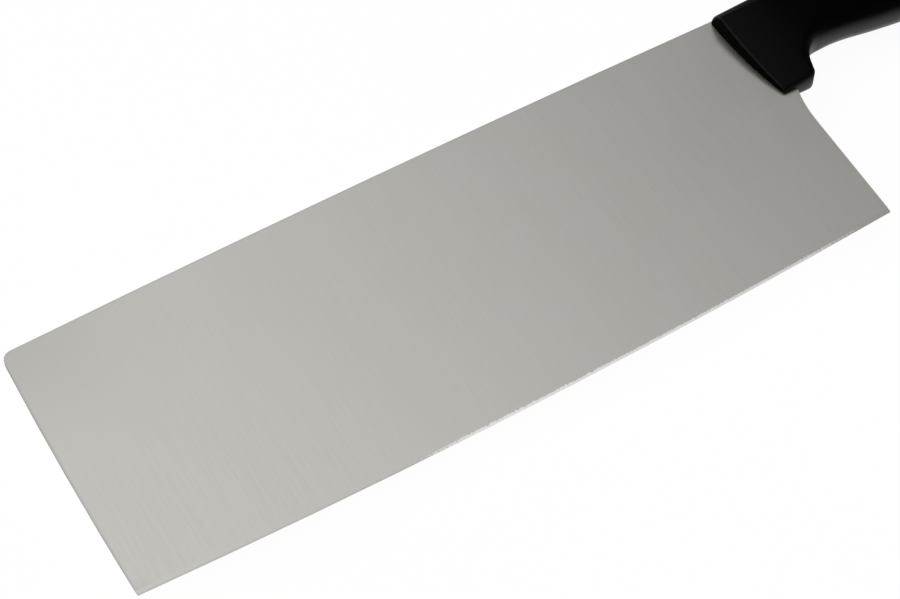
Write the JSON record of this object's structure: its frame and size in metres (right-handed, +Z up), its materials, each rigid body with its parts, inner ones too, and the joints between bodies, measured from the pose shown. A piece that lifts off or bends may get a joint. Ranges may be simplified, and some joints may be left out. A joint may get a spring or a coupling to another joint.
{
  "type": "chinese cleaver",
  "caption": "Broad rectangular kitchen cleaver: flat-ground satin steel blade with a slight belly, and a moulded black handle with a finger guard and beaked butt.",
  "frame": {"origin": "under the middle of the whole knife, on the surface that it lies on", "axes": "+X from the tip to the butt, +Y from the cutting edge to the spine, +Z up through the blade as the knife lies on its side"},
  "size_m": [0.3228, 0.0732, 0.015],
  "materials": {
    "steel": "satin, finely ground from spine to edge",
    "black_plastic": "fine matte moulding"
  },
  "bodies": {
    "root": {"blade": "steel", "handle": "black_plastic"}
  },
  "joints": []
}
